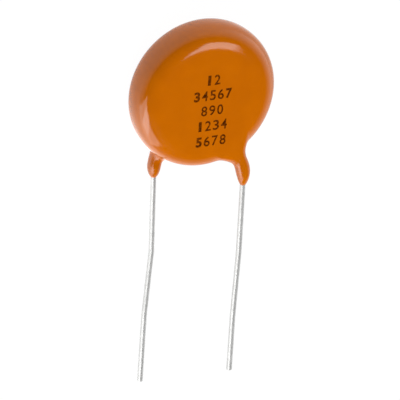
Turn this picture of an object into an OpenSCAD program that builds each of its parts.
// Ceramic disc capacitor for high voltage, with a thick dip coat and two wire leads.
// It lies on its back face: the front face looks up, the leads run towards -Y,
// and the origin is the middle of the back face.

/* [Coat] */
// Outside diameter of the coated disc
coat_d = 23.3; // [19:0.1:28]
// Thickness of the coated disc
coat_t = 6.6; // [5.4:0.1:9]
// Radius of the rounded rim
rim_r = 3; // [1.6:0.1:3.1]
// Thickness of the coat around the ceramic disc's edge
edge_coat = 1.65; // [1:0.05:2.4]
// Thickness of the coat over each wire, inside the disc
face_coat = 0.65; // [0.4:0.05:1]

/* [Ceramic and electrodes] */
// Chamfer on the ceramic disc's two edges
ceramic_edge = 0.2; // [0.05:0.05:0.4]
// Bare ceramic left around each electrode
electrode_margin = 1; // [0.5:0.1:1.5]
// Thickness of each fired silver electrode
electrode_t = 0.05; // [0.03:0.01:0.1]

/* [Solder] */
// Thickness of the solder between an electrode and its wire
solder_film = 0.05; // [0.03:0.01:0.1]
// Thickness of the solder around the wire
solder_wall = 0.3; // [0.1:0.05:0.5]
// Bare electrode left below the lower end of the solder
solder_inset = 0.8; // [0.3:0.1:2]

/* [Leads] */
// Diameter of the wire
wire_d = 0.85; // [0.6:0.01:1]
// Distance between the two leads at their ends
lead_spacing = 12.7; // [10:0.1:14]
// How far the pair of lead ends sits to the right of the disc's middle
lead_shift = 0.25; // [-0.6:0.05:0.6]
// Length of the left lead below the disc's lowest edge
left_length = 36.4; // [34:0.1:60]
// Length of the right lead below the disc's lowest edge
right_length = 34.4; // [34:0.1:60]
// Distance from the disc's lowest edge down to the lower bend of both leads
lower_bend = 25.4; // [22:0.1:26]
// Distance from the disc's lowest edge down to the upper bend of both leads
upper_bend = 14.9; // [11:0.1:18]
// Radius of the bends, along the wire's axis
bend_r = 8; // [4:0.5:12]
// Slant of the left lead between its two bends, in degrees
left_slant_angle = 3; // [1:0.1:5]
// Slant of the right lead between its two bends, in degrees
right_slant_angle = 1.8; // [1:0.1:5]
// Opposite slant of the left lead above its upper bend, in degrees
left_return_angle = 2; // [0.2:0.1:4]
// Opposite slant of the right lead above its upper bend, in degrees
right_return_angle = 0.4; // [0.2:0.1:4]
// Lean of the left wire towards the middle inside the disc, in degrees
left_toe_angle = 6; // [1:0.5:12]
// Lean of the right wire towards the middle inside the disc, in degrees
right_toe_angle = 12; // [5:0.5:14]
// Height of the bend inside each run-down above its tip
toe_height = 1.6; // [1:0.1:2.2]
// Distance from the disc's middle up to each wire's hidden end
hidden_reach = 1.5; // [0:0.5:4]
// Chamfer on the cut ends
tip_chamfer = 0.1; // [0.04:0.01:0.2]

/* [Run-downs] */
// Distance that the left run-down hangs below the disc's edge beside it
left_drop = 4.1; // [3.6:0.1:6.6]
// Distance that the right run-down hangs below the disc's edge beside it
right_drop = 5.6; // [4.4:0.1:6.6]
// Length of the left run-down from its tip up to its belly
left_taper = 2.1; // [1.8:0.1:3]
// Length of the right run-down from its tip up to its belly
right_taper = 3; // [1.8:0.1:3.4]
// Radius of the left run-down at its belly
left_belly_r = 1.05; // [0.8:0.05:1.1]
// Radius of the right run-down at its belly
right_belly_r = 1.1; // [0.8:0.05:1.1]
// Radius of the left run-down's neck, where it leaves the disc
left_neck_r = 0.95; // [0.7:0.05:1]
// Radius of the right run-down's neck, where it leaves the disc
right_neck_r = 0.65; // [0.6:0.05:0.9]
// Length from each belly up to its neck
neck_rise = 2.4; // [1.6:0.1:2.8]
// Distance from the disc's edge down to where the left run-down's web leaves it
left_web_drop = 1.5; // [1.3:0.1:2]
// Distance from the disc's edge down to where the right run-down's web leaves it
right_web_drop = 2.5; // [2:0.1:2.8]
// Lean of each web towards the disc's middle, from the wire, in degrees
web_angle = 28; // [15:1:35]
// Radius of each web where it leaves its run-down
web_r = 0.75; // [0.6:0.05:0.9]
// Radius of each web where it ends inside the disc
web_root_r = 2.8; // [2.2:0.1:3.2]
// Length of each web
web_length = 5.8; // [5.2:0.1:6.2]
// Thickness of the coat at a run-down's tip
tip_edge = 0.06; // [0.03:0.01:0.12]

/* [Hidden] */
$fn = 96;

coat_r = coat_d / 2;
wire_r = wire_d / 2;
// A thin coat leaves less room for the rounded rim
rim = min(rim_r, coat_t / 2 - 0.2);
ceramic_r = coat_r - edge_coat;
ceramic_t = coat_t - 2 * (face_coat + wire_d + solder_film + electrode_t);
electrode_r = ceramic_r - electrode_margin;
solder_r = wire_r + solder_wall;
// Heights above the disc's middle plane, alike on both sides
electrode_face = ceramic_t / 2 + electrode_t;
wire_height = electrode_face + solder_film + wire_r;
// A bent wire swells a little, and each bend takes in the ends of its straight stretches
bend_swell = 0.004;
bend_lap = 0.1;
// Points on each half of a run-down's outline
outline_steps = 12;
// How quickly a run-down's belly turns into its tip
taper_power = 2;

// Each path runs from a lead's end up to its hidden end, seen from the front
left_path = lead_path(lead_shift - lead_spacing / 2, left_length, left_drop,
                      left_slant_angle, left_return_angle, left_toe_angle);
right_path = lead_path(lead_shift + lead_spacing / 2, right_length, right_drop,
                       right_slant_angle, right_return_angle, -right_toe_angle);

// Distance from the disc's middle down to a circle of radius r, beside the middle by x
function edge_below(r, x) = sqrt(max(0, r * r - x * x));

function lead_path(end_x, length, drop, slant, return, toe_in) =
    let (lower = [end_x, -coat_r - lower_bend],
         upper = [end_x + (lower_bend - upper_bend) * tan(slant), -coat_r - upper_bend],
         toe_y = toe_height - drop - edge_below(coat_r, end_x),
         toe = [upper.x - (toe_y - upper.y) * tan(return), toe_y],
         hidden = [toe.x + (hidden_reach - toe_y) * tan(toe_in), hidden_reach])
    [[end_x, -coat_r - length], lower, upper, toe, hidden];

// Distance from a path's hidden end, down along the wire, to a circle of radius r
function reach_down(path, r) =
    let (unit = (path[3] - path[4]) / norm(path[3] - path[4]),
         ahead = path[4] * unit)
    sqrt(r * r - path[4] * path[4] + ahead * ahead) - ahead;

// Direction of a path's stretch, clockwise from +Y
function heading(path, i) = atan2(path[i + 1].x - path[i].x, path[i + 1].y - path[i].y);
// Clockwise turn at a path's corner, none at its two ends
function turn(path, i) =
    i == 0 || i == len(path) - 1 ? 0 : heading(path, i) - heading(path, i - 1);
// Length that a bend takes from the stretch on each side of its corner
function bend_share(path, i) = bend_r * tan(abs(turn(path, i)) / 2);

module along(path, i) {
    translate(path[i]) rotate([0, 0, -heading(path, i)]) children();
}

// Straight stretch from corner i to the next, reaching a little way into the bends
module stretch(path, i) {
    last = i == len(path) - 2;
    start = i == 0 ? tip_chamfer : bend_share(path, i) - bend_lap;
    end = norm(path[i + 1] - path[i]) - (last ? 0 : bend_share(path, i + 1) - bend_lap);
    along(path, i) rotate([-90, 0, 0]) {
        translate([0, 0, start]) cylinder(r = wire_r, h = end - start);
        if (i == 0) cylinder(r1 = wire_r - tip_chamfer, r2 = wire_r, h = tip_chamfer);
    }
}

module bend_to_left(angle) {
    translate([-bend_r, 0, 0]) rotate_extrude(angle = angle)
        translate([bend_r, 0]) circle(r = wire_r + bend_swell);
}

module bend(path, i) {
    angle = turn(path, i);
    translate(path[i]) rotate([0, 0, -heading(path, i - 1)]) translate([0, -bend_share(path, i), 0]) {
        if (angle > 0.01) mirror([1, 0, 0]) bend_to_left(angle);
        if (angle < -0.01) bend_to_left(-angle);
    }
}

module wire(path) {
    for (i = [0 : len(path) - 2]) stretch(path, i);
    for (i = [1 : len(path) - 2]) bend(path, i);
}

// Places what is drawn above the middle plane on the front or on the back
module on_front() {
    translate([0, 0, coat_t / 2]) children();
}

module on_back() {
    translate([0, 0, coat_t / 2]) mirror([0, 0, 1]) children();
}

module ceramic() {
    straight = ceramic_t / 2 - ceramic_edge;
    rotate_extrude() polygon([[0, -ceramic_t / 2], [ceramic_r - ceramic_edge, -ceramic_t / 2],
                              [ceramic_r, -straight], [ceramic_r, straight],
                              [ceramic_r - ceramic_edge, ceramic_t / 2], [0, ceramic_t / 2]]);
}

module electrode() {
    translate([0, 0, ceramic_t / 2]) cylinder(r = electrode_r, h = electrode_t);
}

// Round-ended bead of solder along the wire's hidden end, standing on the electrode
module solder_bead(path) {
    hidden_length = norm(path[4] - path[3]);
    solder_length = reach_down(path, electrode_r - solder_inset - solder_r);
    intersection() {
        translate([0, 0, wire_height]) along(path, 3) translate([0, hidden_length, 0]) {
            sphere(r = solder_r);
            rotate([90, 0, 0]) cylinder(r = solder_r, h = solder_length);
            translate([0, -solder_length, 0]) sphere(r = solder_r);
        }
        translate([0, 0, electrode_face]) cylinder(r = coat_r, h = coat_t);
    }
}

module lead(path) {
    translate([0, 0, wire_height]) wire(path);
}

// Radius of a run-down at a height above its tip, along the wire
function run_radius(height, taper, belly_r, neck_r) =
    let (tip_r = wire_r + tip_edge,
         below = 1 - height / taper,
         above = min(1, (height - taper) / neck_rise))
    height < taper
        ? tip_r + (belly_r - tip_r) * (1 - pow(below, taper_power))
        : neck_r + (belly_r - neck_r) * (1 + cos(180 * above)) / 2;

// Turns the part of a run-down between two heights, with its lower end at the origin
module turned_run(from, to, taper, belly_r, neck_r) {
    heights = [for (i = [0 : outline_steps]) from + (to - from) * i / outline_steps];
    outline = [for (h = heights) [run_radius(h, taper, belly_r, neck_r), h - from]];
    rotate([-90, 0, 0]) rotate_extrude() polygon(concat([[0, 0]], outline, [[0, to - from]]));
}

// Coat between a run-down and the disc's lower edge, widening like a trumpet
module web() {
    outline = [for (i = [0 : outline_steps])
                  let (t = i / outline_steps)
                  [web_r + (web_root_r - web_r) * (1 - cos(180 * t)) / 2, web_length * t]];
    rotate([-90, 0, 0]) rotate_extrude() polygon(concat([[0, 0]], outline, [[0, web_length]]));
}

// Coat that ran down a wire, no thicker than the disc's faces allow
module run_down(path, drop, taper, belly_r, neck_r, web_drop) {
    toe = path[3];
    root_height = toe_height - toe.y - edge_below(coat_r - rim, toe.x);
    inward = toe.x > 0 ? 1 : -1;
    intersection() {
        translate([0, 0, wire_height]) {
            translate(toe) sphere(r = run_radius(toe_height, taper, belly_r, neck_r));
            translate(toe) rotate([0, 0, -heading(path, 2)]) translate([0, -toe_height, 0])
                turned_run(0, toe_height, taper, belly_r, neck_r);
            along(path, 3) turned_run(toe_height, root_height, taper, belly_r, neck_r);
            along(path, 3) translate([0, drop - web_drop - toe_height, 0])
                rotate([0, 0, inward * web_angle]) web();
        }
        cylinder(r = 2 * coat_d, h = coat_t, center = true);
    }
}

module coated_disc() {
    straight = coat_t / 2 - rim;
    rotate_extrude() {
        translate([0, -coat_t / 2]) square([coat_r - rim, coat_t]);
        translate([coat_r - rim, -straight]) square([rim, 2 * straight]);
        intersection() {
            for (side = [-1, 1]) translate([coat_r - rim, side * straight]) circle(r = rim);
            translate([coat_r - rim, -coat_t / 2]) square([rim, coat_t]);
        }
    }
}

module epoxy_coat() {
    color("#c86700") difference() {
        union() {
            translate([0, 0, coat_t / 2]) coated_disc();
            on_back() run_down(left_path, left_drop, left_taper, left_belly_r, left_neck_r,
                               left_web_drop);
            on_front() run_down(right_path, right_drop, right_taper, right_belly_r, right_neck_r,
                                right_web_drop);
        }
        translate([0, 0, coat_t / 2]) ceramic();
        on_front() electrode();
        on_back() electrode();
        on_front() solder_bead(right_path);
        on_back() solder_bead(left_path);
        on_front() lead(right_path);
        on_back() lead(left_path);
    }
}

module ceramic_disc() {
    color("#d9cdb8") translate([0, 0, coat_t / 2]) ceramic();
}

module front_electrode() {
    color("#d5d3cf") on_front() electrode();
}

module back_electrode() {
    color("#d5d3cf") on_back() electrode();
}

module front_solder() {
    color("#a9abae") on_front() difference() {
        solder_bead(right_path);
        lead(right_path);
    }
}

module back_solder() {
    color("#a9abae") on_back() difference() {
        solder_bead(left_path);
        lead(left_path);
    }
}

module left_lead() {
    color("#e6e7e8") on_back() lead(left_path);
}

module right_lead() {
    color("#e6e7e8") on_front() lead(right_path);
}

epoxy_coat();
ceramic_disc();
front_electrode();
back_electrode();
front_solder();
back_solder();
left_lead();
right_lead();
